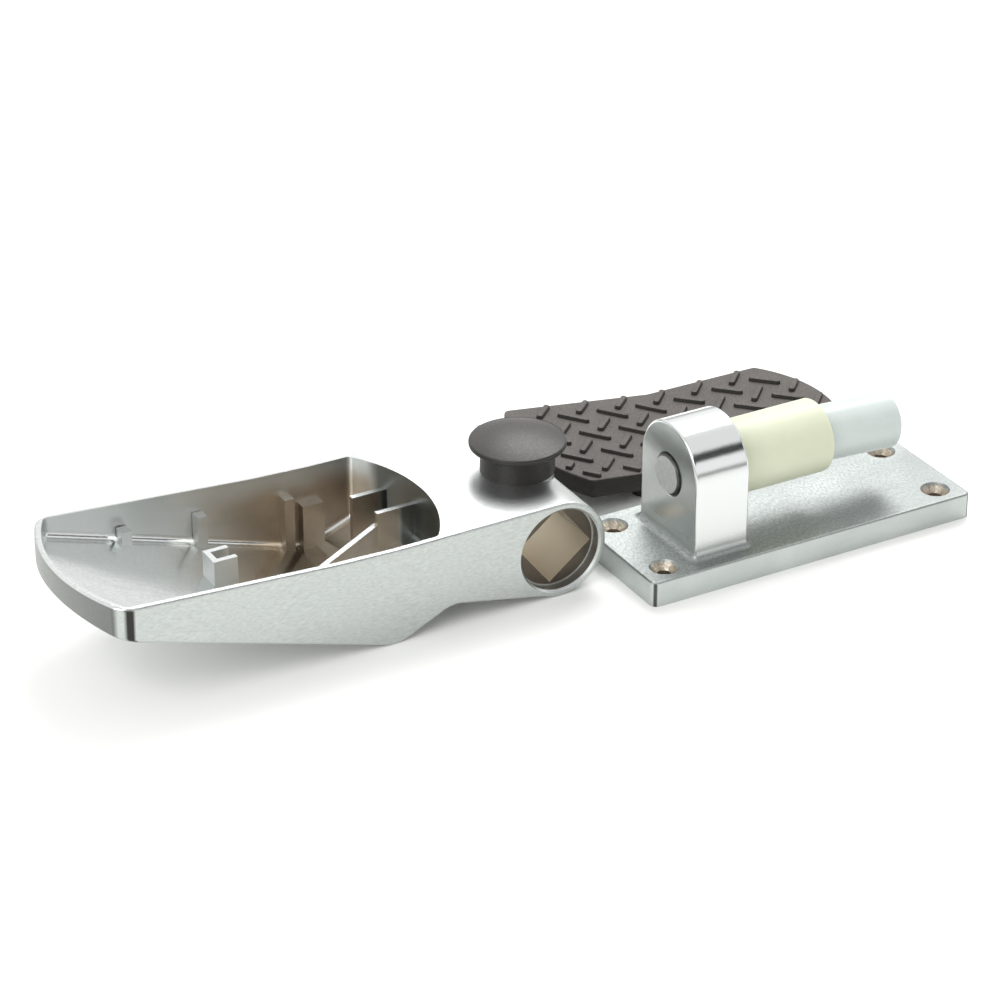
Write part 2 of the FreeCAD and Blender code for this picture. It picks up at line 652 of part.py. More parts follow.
def tread_pad():
    """Rubber pad that drops into the tray, lying with its toe end curled up."""
    side_length = "(toe_x - toe_wall - tray_end_x - 2 * pad_gap)"
    toe = "(%s - pad_flat)" % side_length
    beyond = "(%s + toe_bulge + overlap)" % toe
    curl = "tan(pad_rise)"
    low = new_body("pad_side")
    flat_end = "pad_flat + tray_end_bulge + overlap"
    side = [
        ("-" + beyond, beyond + " * " + curl),
        ("0", "0"),
        (flat_end, "0"),
        (flat_end, "pad_thick"),
        ("0", "pad_thick"),
        ("-" + beyond, beyond + " * " + curl + " + pad_thick"),
    ]
    pad(low, outline(low, "pad_side_view", "XZ_Plane", side), "barrel_length + 2 * overlap",
        "-(barrel_length + overlap)")
    wide_toe = "(barrel_length + 2 * toe_flare - 2 * side_wall - 2 * pad_gap)"
    wide_end = "(barrel_length + 2 * toe_flare * tray_end_x / toe_x - 2 * side_wall - 2 * pad_gap)"
    taper = "((%s - %s) / 2)" % (wide_toe, wide_end)
    plan = [
        ("-" + toe, "0"),
        ("pad_flat", taper),
        ("pad_flat", taper + " + " + wide_end),
        ("-" + toe, wide_toe),
    ]
    top = new_body("pad_plan")
    pad(top, outline(top, "pad_plan_view", "XY_Plane", plan, {1: "tray_end_bulge", 3: "toe_bulge"}),
        "pad_thick + 2 * clear_over", "-overlap")
    soften(top, "Fillet", lambda edge, middle: runs_along(edge, 2), "tray_corner")
    both = doc.addObject("Part::Common", "pad_block")
    both.Base = low
    both.Tool = top
    doc.recompute()
    body = new_body("tread_pad")
    body.BaseFeature = both
    doc.recompute()
    for name, y in (("near_lug", "lug_inset"), ("far_lug", wide_toe + " - lug_inset")):
        add_cylinder(body, name, ("-lug_x", y, "0"), "lug_radius", "lug_x * " + curl + " + pad_thick / 2")
    bind(body, {"Placement.Base.x": "pad_x", "Placement.Base.y": "pad_y"})
    return body


nodes = [base_casting(), pivot_pin(), nylon_bush(), acetal_sleeve(), pedal_casting(), bumper(), tread_pad()]
for node in nodes:
    node.Label = node.Name
doc.recompute()

for item in doc.Objects:
    if "Invalid" in item.State or "Error" in item.State:
        raise RuntimeError(item.Name + " failed")
for node in nodes:
    if node.Shape.isNull() or not node.Shape.isValid():
        raise RuntimeError(node.Label + " has no valid shape")

os.makedirs("parts", exist_ok=True)
for node in nodes:
    node.Shape.exportStep("parts/%s.step" % node.Label)
    box = node.Shape.BoundBox
    print("%-15s solids %d  volume %9.0f  X %.1f..%.1f Y %.1f..%.1f Z %.2f..%.2f" % (
        node.Label, len(node.Shape.Solids), node.Shape.Volume,
        box.XMin, box.XMax, box.YMin, box.YMax, box.ZMin, box.ZMax))
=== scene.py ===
import math
from functools import partial

import bmesh
import bpy
from mathutils import Matrix, Vector


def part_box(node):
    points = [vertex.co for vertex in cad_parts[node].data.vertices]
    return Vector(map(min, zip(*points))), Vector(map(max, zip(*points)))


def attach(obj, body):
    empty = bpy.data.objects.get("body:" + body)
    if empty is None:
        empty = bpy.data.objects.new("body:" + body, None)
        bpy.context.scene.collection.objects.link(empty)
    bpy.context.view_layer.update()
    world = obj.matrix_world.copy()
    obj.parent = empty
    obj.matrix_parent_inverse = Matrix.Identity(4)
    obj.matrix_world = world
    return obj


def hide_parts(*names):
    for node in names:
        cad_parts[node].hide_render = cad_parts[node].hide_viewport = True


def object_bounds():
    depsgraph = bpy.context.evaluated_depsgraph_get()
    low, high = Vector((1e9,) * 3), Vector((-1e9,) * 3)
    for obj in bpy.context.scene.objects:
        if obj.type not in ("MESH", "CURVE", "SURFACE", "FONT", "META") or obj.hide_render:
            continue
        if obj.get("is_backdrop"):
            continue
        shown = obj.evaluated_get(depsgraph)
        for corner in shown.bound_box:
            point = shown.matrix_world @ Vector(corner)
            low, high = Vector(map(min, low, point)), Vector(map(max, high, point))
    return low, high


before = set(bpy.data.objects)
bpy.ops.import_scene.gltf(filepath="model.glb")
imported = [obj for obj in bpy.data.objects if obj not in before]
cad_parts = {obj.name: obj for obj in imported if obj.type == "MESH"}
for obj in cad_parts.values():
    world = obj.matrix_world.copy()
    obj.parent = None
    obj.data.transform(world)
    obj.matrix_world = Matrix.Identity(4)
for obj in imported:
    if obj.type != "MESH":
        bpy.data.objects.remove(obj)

bl_info = {
    "name": "Foot treadle kit",
    "version": (1, 0, 0),
    "blender": (4, 5, 0),
    "location": "View3D > Sidebar > Treadle",
    "description": "Builds the finished pieces of a foot treadle round its CAD frame, and a plain stage",
    "category": "Object",
}

MM = 0.001


def linear(hex_text):
    """sRGB hex, such as 'D9DCDA', as a linear colour."""
    channels = [int(hex_text[i:i + 2], 16) / 255 for i in (0, 2, 4)]
    return tuple(c / 12.92 if c <= 0.04045 else ((c + 0.055) / 1.055) ** 2.4 for c in channels) + (1.0,)


def length(name, about, default, **more):
    """A size that a user would change."""
    return bpy.props.FloatProperty(name=name, description=about, default=default, subtype="DISTANCE",
                                   unit="LENGTH", precision=5, **more)


def colour(name, about, hex_text):
    """A finish's colour that a user would change."""
    return bpy.props.FloatVectorProperty(name=name, description=about, default=linear(hex_text), size=4,
                                         subtype="COLOR", min=0.0, max=1.0)


# ---------------------------------------------------------------- settings

class TreadSizes(bpy.types.PropertyGroup):
    """The moulded pad's raised diamond bars."""
    bar_long: length("Bar length", "One raised bar from end to end", 13.6 * MM)
    bar_wide: length("Bar width", "Width of a raised bar at its foot", 3.0 * MM)
    bar_high: length("Bar height", "How far the bars stand above the pad", 1.5 * MM)
    pitch_x: length("Pitch along", "Like bars along the pad", 18.4 * MM)
    pitch_y: length("Pitch across", "Like bars across the pad", 17.0 * MM)
    border: length("Plain border", "Pad's edge to the nearest bar", 1.3 * MM)
    edge: length("Edge rounding", "Rounding of the pad's edges", 0.9 * MM)


class BumperSizes(bpy.types.PropertyGroup):
    """The mushroom bumper's turned outline."""
    stem_radius: length("Stem radius", "Stem under the head", 14.2 * MM)
    head_edge: length("Head edge", "Thickness of the head's rim", 2.0 * MM)
    cavity_radius: length("Cavity radius", "Hole that grips the casting's post", 6.06 * MM)
    cavity_depth: length("Cavity depth", "Depth of the hole for the post", 9.75 * MM)
    stem_height: length("Stem height", "Seat to the head's underside", 10.2 * MM)


class CastingSizes(bpy.types.PropertyGroup):
    """Where the plating on the castings changes."""
    recess_z: length("Nickel height", "Height under which the tray's chrome gives way to nickel", 33.0 * MM)


class FinishColours(bpy.types.PropertyGroup):
    """Base colours of the finishes."""
    chrome: colour("Chrome", "Polished chrome plate", "DCDFDE")
    side: colour("Linished side", "Chrome on the pedal's linished upright faces", "C6CBC8")
    satin: colour("Linished chrome", "Chrome over the linished base", "ADB2B0")
    # painted shade: dark colour for the tray's upright faces at its end
    shadow: colour("Painted end shade", "Painted shade on the tray's upright faces at its end", "7E807D")
    nickel: colour("Nickel", "Bare nickel where chrome doesn't throw", "C3B5A3")
    hole: colour("Screw hole", "Dull plating in the screw holes", "CFC3B2")
    # nickel painted lighter in the socket: painted light for its lit face
    socket: colour("Socket", "Nickel inside the barrel's socket", "E2D6C2")
    # painted reflection: dark bands on the rounded upright corners of the pedal's toe and of the base
    dark: colour("Painted dark reflection", "Dark reflection painted on rounded upright corners", "3C3B38")
    steel: colour("Pin steel", "Turned end of the pin", "E6E8E7")
    nylon: colour("Natural nylon", "Cream bush", "D4D8C0")
    acetal: colour("White acetal", "Bluish white sleeve", "CBD3D0")
    rubber: colour("Tread rubber", "Moulded pad's grey top faces", "534E4A")
    # painted shade: the darker colour of the pad's upright faces
    rubber_painted_shade: colour("Rubber painted shade", "Moulded pad's upright faces", "26231F")
    bumper: colour("Bumper rubber", "Moulded bumper", "33302D")
    floor: colour("Floor", "Plain pale floor", "F6F6F4")


class CameraSettings(bpy.types.PropertyGroup):
    """Where the camera stands."""
    azimuth: bpy.props.FloatProperty(name="Azimuth", description="Camera's turn round the kit",
                                     default=math.radians(-29.5), subtype="ANGLE", unit="ROTATION")
    elevation: bpy.props.FloatProperty(name="Elevation", description="Camera's height above the horizon",
                                       default=math.radians(28.5), subtype="ANGLE", unit="ROTATION")
    distance: length("Distance", "Camera to the middle of the kit", 1.3286)
    framing: bpy.props.FloatVectorProperty(name="Framing",
                                           description="Point looked at, from the middle of the kit",
                                           default=(4.0 * MM, -5.6 * MM, -6.1 * MM), size=3,
                                           subtype="TRANSLATION", unit="LENGTH", precision=5)
    lens: bpy.props.FloatProperty(name="Lens", description="Focal length on a 36 mm sensor", default=126.0,
                                  unit="CAMERA")


class TreadleSettings(bpy.types.PropertyGroup):
    """Everything that a user would change."""
    tread: bpy.props.PointerProperty(type=TreadSizes)
    bumper: bpy.props.PointerProperty(type=BumperSizes)
    casting: bpy.props.PointerProperty(type=CastingSizes)
    colours: bpy.props.PointerProperty(type=FinishColours)
    camera: bpy.props.PointerProperty(type=CameraSettings)


def settings():
    return bpy.context.scene.treadle


# ---------------------------------------------------------------- nodes of materials

SMOOTH = {"interpolation_type": "SMOOTHSTEP"}     # a Map Range that eases in and out
COLOURS = {"data_type": "RGBA"}                   # a Mix that mixes colours


def add_node(tree, kind, inputs=(), stops=(), **properties):
    """Add a node and return its first output. Inputs go to its sockets in order, or by name: a socket
    is linked and anything else is set. Stops are a ramp's positions and greys."""
    node = tree.nodes.new("ShaderNode" + kind)
    for name, value in properties.items():
        setattr(node, name, value)
    in_use = [socket for socket in node.inputs if socket.enabled]
    named = inputs.items() if isinstance(inputs, dict) else enumerate(inputs)
    for key, value in named:
        socket = node.inputs[key] if isinstance(key, str) else in_use[key]
        if isinstance(value, bpy.types.NodeSocket):
            tree.links.new(value, socket)
        else:
            socket.default_value = value
    if stops:
        elements = node.color_ramp.elements
        while len(elements) < len(stops):
            elements.new(0.5)
        for element, (position, grey) in zip(elements, stops):
            element.position = position
            element.color = (grey, grey, grey, 1)
    return next((socket for socket in node.outputs if socket.enabled), None)


def blank(name):
    """A new material, what adds nodes to it, and its Object coordinates in metres."""
    material = bpy.data.materials.new(name)
    material.use_nodes = True
    material.node_tree.nodes.clear()
    add = partial(add_node, material.node_tree)
    return material, add, add("TexCoord").node.outputs["Object"]


def coat(material, inputs):
    """Give a material its surface shader with these inputs."""
    surface = add_node(material.node_tree, "BsdfPrincipled", inputs)
    add_node(material.node_tree, "OutputMaterial", {"Surface": surface}, is_active_output=True)
    return material


def grain(add, place, size, stretch=(1, 1, 1), detail=4.0, turn=0.0):
    """Noise whose features are about size metres, longer along an axis with a stretch over 1."""
    turned = add("Mapping", {"Vector": place, "Rotation": (0, 0, turn),
                             "Scale": tuple(1 / share for share in stretch)})
    return add("TexNoise", {"Vector": turned, "Scale": 1 / size, "Detail": detail, "Roughness": 0.55})


def where_all(add, *masks):
    """The place where all of these masks hold."""
    whole = masks[0]
    for mask in masks[1:]:
        whole = add("Math", (whole, mask), operation="MULTIPLY")
    return whole


def distance(add, across, along):
    """Distance from an axis, from the two distances across it."""
    squares = [add("Math", (side, side), operation="MULTIPLY") for side in (across, along)]
    return add("Math", (add("Math", squares, operation="ADD"),), operation="SQRT")


def shade(c, factor):
    """A linear colour made lighter or darker."""
    return tuple(min(1.0, v * factor) for v in c[:3]) + (1.0,)


# ---------------------------------------------------------------- materials

# darkness of the dark reflection bands painted on the toe's rounded corners, against how far a face points
# to the toe's end
TOE_PAINTED_REFLECTION = ((0.10, 0.0), (0.2, 1.0), (0.42, 1.0), (0.55, 0.0), (0.72, 0.0), (0.85, 0.75), (1.0, 0.6))


def polished_chrome():
    """Chrome plate on a polished zinc casting: a bright mirror with the slow ripple of the
    casting under it, fine polishing lines on its sides, and bare warm nickel in the deep
    recesses that the chrome bath doesn't reach. Dark reflections are painted on the toe's
    rounded corners, painted shade on the tray's end and in the barrel's mouth, and painted
    light on the nickel of the socket."""
    made = settings()
    colours = made.colours
    material, add, place = blank("polished_chrome_on_zinc")
    low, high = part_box("pedal_casting")
    post_high = 9.5 * MM        # the post that stands on the barrel, the casting's highest point
    barrel = (high.z - post_high) / 2
    axis_x = high.x - barrel
    x, y, z = add("SeparateXYZ", (place,)).node.outputs
    ripple = grain(add, place, 9 * MM, detail=2.0)
    # polishing lines are finer than this, which is as coarse as they need to be to show
    lines = grain(add, place, 0.5 * MM, (4, 1, 1), 4.0)
    patches = grain(add, place, 22 * MM, detail=3.0)

    # within the tray's walls, which taper towards the toe, and short of the neck
    taper = 2 / 177
    wall, wall_end = 2.8 * MM, 3.4 * MM
    lean = add("Math", (add("Math", (axis_x, x), operation="SUBTRACT"), taper), operation="MULTIPLY")
    from_near = add("Math", (y, lean), operation="ADD")
    from_far = add("Math", (y, lean), operation="SUBTRACT")
    past_near = add("MapRange", (from_near, low.y + wall, low.y + wall_end, 0, 1))
    before_far = add("MapRange", (from_far, high.y - wall_end, high.y - wall, 1, 0))
    before_neck = add("MapRange", (x, axis_x - 40 * MM, axis_x - 36 * MM, 1, 0), **SMOOTH)
    # the toe is an arc, so what lies within it is found by the distance from its centre
    toe_arc = 70.4 * MM
    beyond = add("Math", (low.x + toe_arc, x), operation="SUBTRACT")
    ahead = add("Math", (beyond, 0.0), operation="MAXIMUM")
    aside = add("Math", (y, (low.y + high.y) / 2), operation="SUBTRACT")
    from_arc = distance(add, ahead, aside)
    in_toe = add("MapRange", (from_arc, toe_arc - 1.8 * MM, toe_arc - 0.8 * MM, 1, 0))
    inside = where_all(add, past_near, before_far, before_neck, in_toe)

    # a face's direction is read in the scene's axes, so what it chooses shifts as the pedal swings
    normal = add("NewGeometry").node.outputs["Normal"]
    pointing = add("SeparateXYZ", (normal,)).node.outputs
    endways, facing = pointing["X"], pointing["Z"]
    # nickel: deep in the tray, towards the barrel, on faces that don't look up
    recess = made.casting.recess_z
    wavy = add("Math", (patches, 10 * MM, z), operation="MULTIPLY_ADD")
    deep = add("MapRange", (wavy, recess, recess + 11 * MM, 1, 0), **SMOOTH)
    heel = add("MapRange", (x, axis_x - 130 * MM, axis_x - 85 * MM, 0, 1), **SMOOTH)
    at_end = add("MapRange", (x, axis_x - 47 * MM, axis_x - 44 * MM, 0, 1), **SMOOTH)
    before_end = add("Math", (1.0, at_end), operation="SUBTRACT")
    not_up = add("MapRange", (facing, 0.3, 0.8, 1, 0))
    tray = where_all(add, inside, deep, heel, before_end, not_up)
    # and inside the barrel: nickel, with painted shade that darkens its mouth and painted light that
    # brightens its socket
    off_axis = add("Math", (x, axis_x), operation="SUBTRACT")
    above_axis = add("Math", (z, barrel), operation="SUBTRACT")
    bore = add("MapRange", (distance(add, off_axis, above_axis), 16.0 * MM, 16.7 * MM, 1, 0), **SMOOTH)
    recessed = add("Math", (tray, bore), operation="MAXIMUM")
    bare = where_all(add, recessed, add("MapRange", (facing, -0.55, -0.3, 0, 1)))
    cloudy = add("MapRange", (patches, 0.35, 0.7, 0, 1))
    tint = add("Mix", (cloudy, colours.nickel, shade(colours.nickel, 0.75)), **COLOURS)
    past_mouth = add("MapRange", (y, low.y + 7.1 * MM, low.y + 7.2 * MM, 0, 1))
    bore_painted_shade_and_light = add("Mix", (past_mouth, shade(colours.nickel, 0.2), colours.socket), **COLOURS)
    tint = add("Mix", (bore, tint, bore_painted_shade_and_light), **COLOURS)

    # chrome: linished upright faces, mirror flats, a duller neck
    side = add("MapRange", (add("Math", (facing,), operation="ABSOLUTE"), 0.2, 0.7, 1, 0))
    at_neck = add("MapRange", (x, axis_x - 52 * MM, axis_x - 34 * MM, 0, 1), **SMOOTH)
    upright = add("Mix", (add("MapRange", (lines, 0.3, 0.7, 0, 1)), colours.side, shade(colours.side, 0.8)),
                  **COLOURS)
    upright = add("Mix", (inside, upright, colours.chrome), **COLOURS)
    flat = add("Mix", (at_neck, colours.chrome, shade(colours.chrome, 0.83)), **COLOURS)
    flat = add("Mix", (add("MapRange", (lines, 0.35, 0.65, 0, 0.5)), flat, shade(colours.chrome, 0.72)),
               **COLOURS)
    clean = add("Mix", (side, flat, upright), **COLOURS)
    # painted reflection: dark bands round the toe's corners, by the way that a face points
    at_toe = where_all(add, add("MapRange", (x, low.x + 22 * MM, low.x + 26 * MM, 1, 0)), side,
                       add("MapRange", (inside, 0, 1, 1, 0)))
    painted_reflection = add("ValToRGB", (add("Math", (endways, -1.0), operation="MULTIPLY"),), stops=TOE_PAINTED_REFLECTION)
    clean = add("Mix", (where_all(add, at_toe, painted_reflection), clean, colours.dark), **COLOURS)
    # painted shade: the tray's upright faces at its end take the dark shadow colour
    clean = add("Mix", (where_all(add, inside, at_end, side), clean, colours.shadow), **COLOURS)

    linished = add("MapRange", (add("Math", (side, at_neck), operation="MAXIMUM"), 0, 1, 0.06, 0.26))
    rough = add("Math", (lines, 0.2, linished), operation="MULTIPLY_ADD")
    rippled = add("Bump", {"Height": ripple, "Distance": 0.35 * MM, "Strength": 0.3})
    return coat(material, {
        "Base Color": add("Mix", (bare, clean, tint), **COLOURS),
        "Metallic": 1.0,
        "Roughness": add("Math", (bare, 0.06, rough), operation="MULTIPLY_ADD"),
        "Normal": add("Bump", {"Height": lines, "Distance": 0.05 * MM, "Strength": 0.6, "Normal": rippled}),
    })


def linished_chrome():
    """Chrome plate on a belt-linished zinc casting: the flat faces keep a short sparkling grain,
    drawn coarser than the belt's own so that it shows, the boss is polished smooth, and nickel
    shows in the screw holes. The upright faces are painted lighter, with dark reflections
    painted on their rounded corners."""
    colours = settings().colours
    material, add, place = blank("linished_chrome_on_zinc")
    low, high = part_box("base_casting")
    plate_top = 10.2 * MM                           # just above the plate's flat top
    hole_in_x, hole_in_y = 10.4 * MM, 9.6 * MM      # screw holes, in from the plate's edges
    x, y, z = add("SeparateXYZ", (place,)).node.outputs
    grit = grain(add, place, 0.6 * MM, (1.0, 3.0, 1.0), 5.0, math.radians(20))
    ripple = grain(add, place, 14 * MM, detail=2.0)
    patches = grain(add, place, 26 * MM, (1.6, 1, 1), 3.0)

    # the four countersinks, found from the nearest one's axis
    from_x = add("Math", (add("Math", (x,), operation="ABSOLUTE"), high.x - hole_in_x), operation="SUBTRACT")
    from_y = add("Math", (add("Math", (y,), operation="ABSOLUTE"), high.y - hole_in_y), operation="SUBTRACT")
    near_hole = add("MapRange", (distance(add, from_x, from_y), 4.6 * MM, 5.5 * MM, 1, 0), **SMOOTH)
    below_top = add("MapRange", (z, plate_top - 0.9 * MM, plate_top - 0.3 * MM, 1, 0), **SMOOTH)
    in_hole = where_all(add, near_hole, below_top)
    hole = add("Mix", (add("MapRange", (grit, 0.4, 0.6, 0, 1)), colours.hole, shade(colours.hole, 0.55)),
               **COLOURS)

    # flats, uprights painted lighter with dark reflections painted on their corners, and the polished boss
    normal = add("NewGeometry").node.outputs["Normal"]
    pointing = add("SeparateXYZ", (normal,)).node.outputs
    endways = add("Math", (pointing["X"],), operation="ABSOLUTE")
    streaks = add("MapRange", (patches, 0.35, 0.7, 0, 1))
    clean = add("Mix", (streaks, colours.satin, shade(colours.satin, 0.72)), **COLOURS)
    sparkle = add("MapRange", (grit, 0.4, 0.62, 0, 0.85))
    clean = add("Mix", (sparkle, clean, shade(colours.satin, 0.6)), **COLOURS)
    # painted light: the upright faces are lighter copies of the satin chrome
    upright = add("Mix", (streaks, shade(colours.satin, 1.5), shade(colours.satin, 1.2)), **COLOURS)
    # painted reflection: dark bands on the uprights' rounded corners, by the way that a face points
    corner = where_all(add, add("MapRange", (endways, 0.35, 0.5, 0, 1)),
                       add("MapRange", (endways, 0.75, 0.85, 1, 0)))
    upright = add("Mix", (corner, upright, colours.dark), **COLOURS)
    not_up = add("MapRange", (pointing["Z"], 0.2, 0.7, 1, 0))
    clean = add("Mix", (where_all(add, not_up, 0.85), clean, upright), **COLOURS)
    polished = add("MapRange", (z, plate_top + 1 * MM, plate_top + 5 * MM, 0, 1), **SMOOTH)
    clean = add("Mix", (polished, clean, colours.chrome), **COLOURS)

    plate = add("MapRange", (z, plate_top + 2 * MM, plate_top + 8 * MM, 1, 0), **SMOOTH)
    dulled = add("MapRange", (z, high.z - 24 * MM, high.z - 12 * MM, 0.26, 0.15), **SMOOTH)
    height = where_all(add, grit, add("Math", (plate, 0.85, 0.15), operation="MULTIPLY_ADD"))
    rippled = add("Bump", {"Height": ripple, "Distance": 0.3 * MM, "Strength": 0.3})
    return coat(material, {
        "Base Color": add("Mix", (in_hole, clean, hole), **COLOURS),
        "Metallic": 1.0,
        "Roughness": add("Math", (where_all(add, grit, plate), 0.32, dulled), operation="MULTIPLY_ADD"),
        "Normal": add("Bump", {"Height": height, "Distance": 0.11 * MM, "Strength": 0.8, "Normal": rippled}),
    })


def turned_steel():
    """Bright bar turned and peened: fine rings round the axis, a dull, slightly dented end, and painted
    shade in a dark ring at its rim.
    """
    steel = settings().colours.steel
    material, add, place = blank("turned_steel")
    low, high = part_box("pivot_pin")
    ring_pitch = 0.8 * MM       # turning leaves finer rings, which wouldn't show
    x, y, z = add("SeparateXYZ", (place,)).node.outputs
    above = add("Math", (z, (low.z + high.z) / 2), operation="SUBTRACT")
    radius = distance(add, y, above)
    outwards = add("Math", (radius, x), operation="ADD")
    turns = add("Math", (outwards, 2 * math.pi / ring_pitch), operation="MULTIPLY")
    rings = add("Math", (turns,), operation="SINE")
    dents = grain(add, place, 2.2 * MM, detail=3.0)
    # painted shade: a dark ring at the pin's rim, for the gap round it
    edge = add("MapRange", (radius, 7.1 * MM, 7.5 * MM, 0, 1), **SMOOTH)
    tone = add("Mix", (add("MapRange", (dents, 0.3, 0.7, 0, 1)), steel, shade(steel, 0.85)), **COLOURS)
    height = add("Math", (rings, 0.12, dents), operation="MULTIPLY_ADD")
    return coat(material, {
        "Base Color": add("Mix", (edge, tone, shade(steel, 0.1)), **COLOURS),
        "Metallic": 1.0,
        "Roughness": add("MapRange", (dents, 0.3, 0.7, 0.28, 0.42)),
        "Normal": add("Bump", {"Height": height, "Distance": 0.12 * MM, "Strength": 0.5}),
    })


def translucent_plastic(name, base, line_width, rough, reach):
    """Unfilled plastic: light goes a little way in, so its shading is soft. Its lines are drawn
    coarser than real ones, so that they show."""
    material, add, place = blank(name)
    turned = grain(add, place, line_width, (0.12, 1, 1), 3.0)
    cloud = grain(add, place, 12 * MM, detail=2.0)
    cloudy = add("MapRange", (cloud, 0.3, 0.7, 0, 1))
    return coat(material, {
        "Base Color": add("Mix", (cloudy, base, shade(base, 0.95)), **COLOURS),
        "Subsurface Weight": 0.35,
        "Subsurface Radius": reach,
        "Subsurface Scale": 1.6 * MM,
        "IOR": 1.5,
        "Roughness": add("MapRange", (turned, 0.3, 0.7, rough - 0.06, rough + 0.08)),
        "Normal": add("Bump", {"Height": turned, "Distance": 0.05 * MM, "Strength": 0.4}),
    })


def natural_nylon():
    """Turned natural nylon: cream with a green cast, waxy, with fine turning lines."""
    return translucent_plastic("natural_nylon_turned", settings().colours.nylon, 0.9 * MM, 0.42,
                               (1.0, 0.95, 0.6))


def white_acetal():
    """Extruded acetal tube: bluish white, glossier than nylon, and it lets light through."""
    return translucent_plastic("white_acetal_tube", settings().colours.acetal, 1.4 * MM, 0.3,
                               (0.8, 0.95, 1.0))


def moulded_rubber(name, top, side, grain_size, rough):
    """Carbon-black rubber from a spark-eroded mould: fine even grain, patches of grey bloom,
    and painted shade that leaves the upright faces darker than the tops. The grain is drawn
    coarser than a mould's own, so that it shows."""
    material, add, place = blank(name)
    pores = grain(add, place, grain_size, detail=4.0)
    bloom = grain(add, place, 17 * MM, detail=3.0)
    normal = add("NewGeometry").node.outputs["Normal"]
    facing = add("SeparateXYZ", (normal,)).node.outputs["Z"]
    tone = add("Mix", (add("MapRange", (bloom, 0.35, 0.7, 0, 1)), top, shade(top, 1.2)), **COLOURS)
    # painted shade: faces that don't look up take the darker side colour
    tone = add("Mix", (add("MapRange", (facing, 0.55, 0.93, 1, 0)), tone, side), **COLOURS)
    speckle = add("MapRange", (pores, 0.45, 0.75, 0, 0.35))
    return coat(material, {
        "Base Color": add("Mix", (speckle, tone, shade(side, 0.7)), **COLOURS),
        "Roughness": add("MapRange", (pores, 0.3, 0.7, rough - 0.08, rough + 0.1)),
        "Specular IOR Level": 0.4,
        "Normal": add("Bump", {"Height": pores, "Distance": 0.12 * MM, "Strength": 0.5}),
    })


def tread_rubber():
    """Matte black rubber, grey on top, with painted shade on its upright faces."""
    made = settings().colours
    return moulded_rubber("moulded_tread_rubber", made.rubber, made.rubber_painted_shade, 0.9 * MM, 0.62)


def bumper_rubber():
    """Denser, smoother rubber with a soft sheen on its dome."""
    made = settings().colours
    # the bumper's side colour, a darker copy of its rubber, is painted shade
    return moulded_rubber("moulded_bumper_rubber", made.bumper, shade(made.bumper, 0.6), 0.7 * MM, 0.38)


def matte_floor():
    """Plain pale board."""
    base = settings().colours.floor
    material, add, place = blank("plain_floor")
    cloud = grain(add, place, 0.4, detail=2.0)
    return coat(material, {
        "Base Color": add("Mix", (cloud, base, shade(base, 0.985)), **COLOURS),
        "Roughness": 0.9,
    })


# ---------------------------------------------------------------- making pieces

def alone(piece):
    """Select one object only, and make it the active one."""
    bpy.ops.object.select_all(action="DESELECT")
    piece.hide_viewport = False
    piece.select_set(True)
    bpy.context.view_layer.objects.active = piece


def edit(piece):
    """Open one piece's mesh, with nothing of it selected."""
    alone(piece)
    bpy.ops.object.mode_set(mode="EDIT")
    bpy.ops.mesh.select_all(action="DESELECT")


def leave():
    """Close the mesh that is open."""
    bpy.ops.object.mode_set(mode="OBJECT")


def choose(piece, domain, test):
    """In edit mode, select the vertices, edges or faces that pass a test."""
    bpy.context.tool_settings.mesh_select_mode = (domain == "verts", domain == "edges", domain == "faces")
    mesh = bmesh.from_edit_mesh(piece.data)
    for element in getattr(mesh, domain):
        element.select_set(bool(test(element)))
    mesh.select_flush_mode()
    bmesh.update_edit_mesh(piece.data)


def apply_place(piece):
    """Put a piece's place, turn and size into its mesh."""
    alone(piece)
    bpy.ops.object.transform_apply(location=True, rotation=True, scale=True)


def use_modifier(piece, kind, **values):
    """Add a modifier and apply it."""
    alone(piece)
    modifier = piece.modifiers.new(kind.lower(), kind)
    for name, value in values.items():
        setattr(modifier, name, value)
    bpy.ops.object.modifier_apply(modifier=modifier.name)


def skin_of(node, name):
    """A merged copy of a CAD node's mesh, its flat faces whole again."""
    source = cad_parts[node]
    mesh = source.data.copy()
    mesh.name = name
    mesh.materials.clear()
    piece = bpy.data.objects.new(name, mesh)
    bpy.context.scene.collection.objects.link(piece)
    edit(piece)
    bpy.ops.mesh.select_all(action="SELECT")
    bpy.ops.mesh.remove_doubles(threshold=0.001 * MM)
    bpy.ops.mesh.customdata_custom_splitnormals_clear()
    bpy.ops.mesh.dissolve_limited(angle_limit=math.radians(0.4))
    leave()
    return piece


def soften_edges(piece, width, angle, segments):
    """Round the edges that are sharper than an angle in degrees."""
    use_modifier(piece, "BEVEL", width=width, segments=segments, limit_method="ANGLE",
                 angle_limit=math.radians(angle), use_clamp_overlap=True, miter_outer="MITER_ARC",
                 harden_normals=False)
    alone(piece)
    bpy.ops.object.shade_smooth_by_angle(angle=math.radians(30))


def dress(piece, material):
    """Give a piece its material."""
    piece.data.materials.clear()
    piece.data.materials.append(material)


def dress_node(node, material):
    """Put a material on a CAD node that stays as it is."""
    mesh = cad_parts[node].data
    mesh.materials.clear()
    mesh.materials.append(material)


def ring_up(piece, centre, radii_and_heights):
    """Raise a selected ring of edges through radii and heights, as a lathe outline."""
    radius, height = radii_and_heights[0]
    for next_radius, next_height in radii_and_heights[1:]:
        bpy.ops.mesh.extrude_region_move(TRANSFORM_OT_translate={"value": (0, 0, next_height - height)})
        factor = next_radius / radius
        bpy.ops.transform.resize(value=(factor, factor, 1), center_override=centre)
        radius, height = next_radius, next_height


